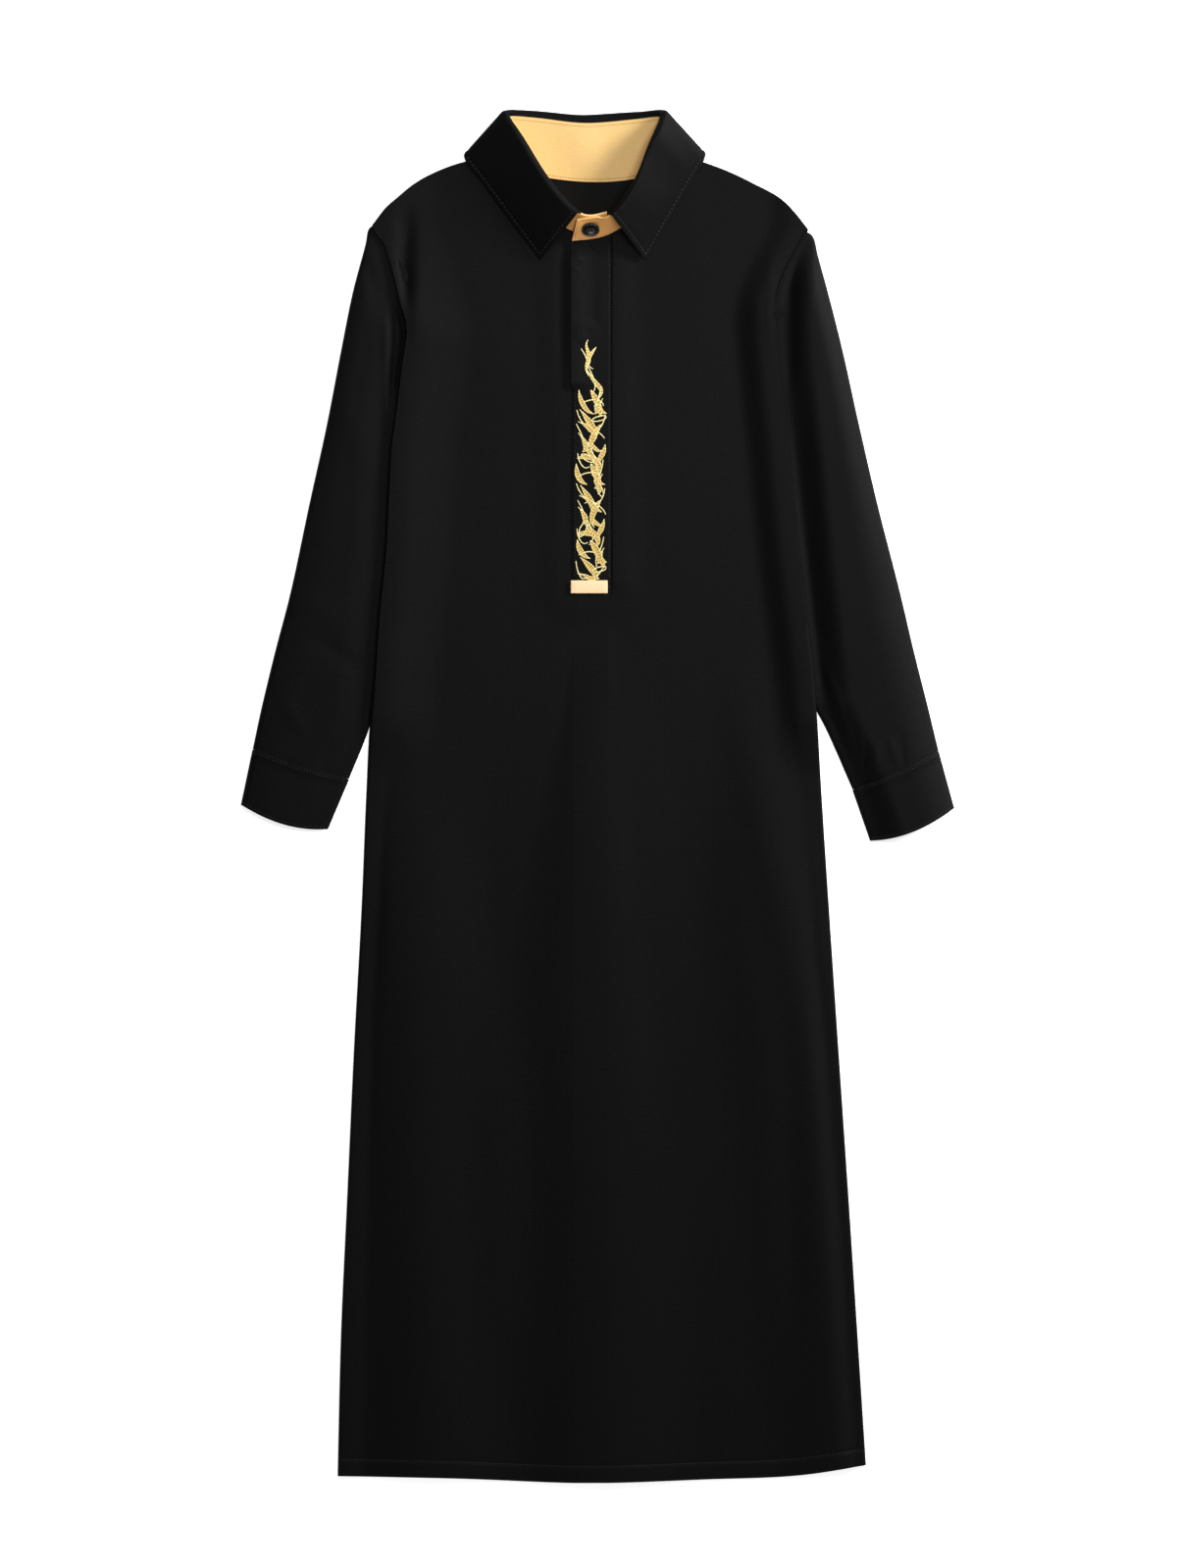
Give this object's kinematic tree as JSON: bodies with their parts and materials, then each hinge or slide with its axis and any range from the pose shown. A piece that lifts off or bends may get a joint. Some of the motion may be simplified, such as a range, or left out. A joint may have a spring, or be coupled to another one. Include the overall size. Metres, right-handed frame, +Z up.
{
  "type": "thobe",
  "caption": "Long-sleeved ankle-length robe with a shirt collar, cuffs and a short buttoned front placket with embroidery, laid flat on its back with the front up.",
  "frame": {"origin": "middle of the part's footprint, on the surface it lies on", "axes": "+Z up out of the surface, +Y from the hem towards the collar, +X towards the wearer's left sleeve"},
  "size_m": [0.7417, 1.4266, 0.0399],
  "materials": {
    "suiting": "matt black wool-blend suiting, plain weave",
    "gold_satin": "yellow gold satin with a soft sheen",
    "pale_satin": "pale gold satin",
    "button": "black moulded polyester, semi-gloss"
  },
  "bodies": {
    "root": {"back_body": "suiting", "front_body": "suiting", "sleeve_left": "suiting", "sleeve_right": "suiting", "cuff_left": "suiting", "cuff_right": "suiting", "placket_under": "suiting", "placket_top": "suiting", "placket_bar": "pale_satin", "collar_stand": "gold_satin", "collar_leaf": "suiting", "neck_button": "button", "placket_button": "button"}
  },
  "joints": []
}
